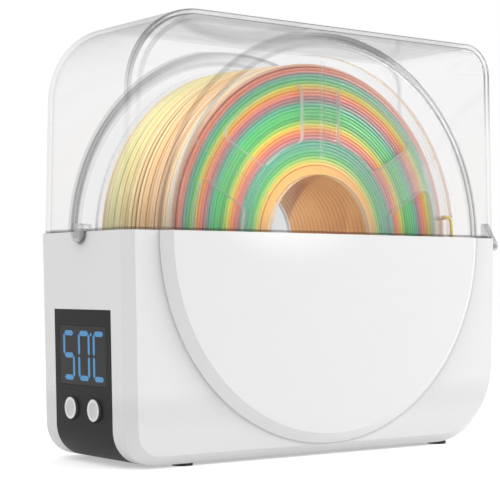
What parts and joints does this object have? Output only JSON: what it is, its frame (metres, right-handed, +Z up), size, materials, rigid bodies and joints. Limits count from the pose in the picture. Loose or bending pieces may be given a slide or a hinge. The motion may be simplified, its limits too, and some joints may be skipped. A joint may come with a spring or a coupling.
{
  "type": "filament dryer box",
  "caption": "Box that warms and dries a spool of printer filament: white lower housing with a display end, hinged clear lid and a spool turning on rollers.",
  "frame": {"origin": "centre of the base, on the surface that the rubber feet stand on", "axes": "+Z up, +X towards the hinge end, -X the display end, -Y the front with the raised disc"},
  "size_m": [0.2702, 0.097, 0.2345],
  "materials": {
    "white_plastic": "satin moulded plastic",
    "clear_plastic": "clear glossy plastic",
    "spool_plastic": "clear glossy plastic",
    "black_plastic": "gloss black plastic",
    "smoked_lens": "smoked clear plastic",
    "button_plastic": "satin plastic",
    "rubber": "matt rubber",
    "seal_rubber": "soft silicone",
    "steel": "bright steel",
    "brass": "plain",
    "aluminium": "mill finish",
    "heating_film": "polyimide film",
    "board": "circuit board",
    "display": "liquid crystal module",
    "inner_plastic": "matt moulded plastic",
    "component": "electronic component",
    "filament": "glossy filament in changing colours",
    "lead": "insulated lead"
  },
  "bodies": {
    "housing": {"lower_housing": "white_plastic", "front_disc_cover": "white_plastic", "rear_disc_cover": "white_plastic", "rim_gasket": "seal_rubber", "rubber_feet": "rubber", "outlet_grommet": "rubber", "hinge_pin_front": "steel", "hinge_pin_rear": "steel", "display_panel": "black_plastic", "display_lens": "smoked_lens", "display_module": "display", "control_board": "board", "tact_switches": "component", "tray_screws": "steel", "board_screws": "steel", "bracket_screws": "steel", "inner_tray": "inner_plastic", "roller_bracket_left": "inner_plastic", "roller_bracket_right": "inner_plastic", "axle_bushes_left": "brass", "axle_bushes_right": "brass", "heater_plate": "aluminium", "heating_film": "heating_film", "heater_posts": "inner_plastic", "thermal_cutoff": "component", "temperature_probe": "board", "power_inlet": "black_plastic", "inlet_pin": "brass", "heater_lead": "lead", "power_lead": "lead"},
    "lid": {"clear_lid": "clear_plastic"},
    "spool": {"spool_flange_front": "spool_plastic", "spool_flange_rear": "spool_plastic", "spool_hub": "spool_plastic", "filament_core": "filament", "filament_winding": "filament"},
    "roller_left": {"roller_axle_left": "steel", "spool_rollers_left": "rubber"},
    "roller_right": {"roller_axle_right": "steel", "spool_rollers_right": "rubber"},
    "button_front": {"button_front": "button_plastic"},
    "button_rear": {"button_rear": "button_plastic"}
  },
  "joints": [
    {"name": "lid_hinge", "type": "hinge", "parent": "housing", "child": "lid", "pos_m": [0.13395, 0, 0.1158], "axis": [0, 1, 0], "range_deg": [0, 105]},
    {"name": "spool_spin", "type": "hinge", "parent": "housing", "child": "spool", "pos_m": [0, 0, 0.118], "axis": [0, 1, 0], "continuous": true},
    {"name": "roller_left_spin", "type": "hinge", "parent": "housing", "child": "roller_left", "pos_m": [-0.05415, 0, 0.02421], "axis": [0, 1, 0], "continuous": true},
    {"name": "roller_right_spin", "type": "hinge", "parent": "housing", "child": "roller_right", "pos_m": [0.05415, 0, 0.02421], "axis": [0, 1, 0], "continuous": true},
    {"name": "button_front_press", "type": "slide", "parent": "housing", "child": "button_front", "axis": [1, 0, 0], "range_m": [0, 0.0008], "stiffness_N_per_m": 900},
    {"name": "button_rear_press", "type": "slide", "parent": "housing", "child": "button_rear", "axis": [1, 0, 0], "range_m": [0, 0.0008], "stiffness_N_per_m": 900}
  ],
  "couplings": [
    {"joint": "roller_left_spin", "follows": "spool_spin", "ratio": -12.5},
    {"joint": "roller_right_spin", "follows": "spool_spin", "ratio": -12.5}
  ]
}
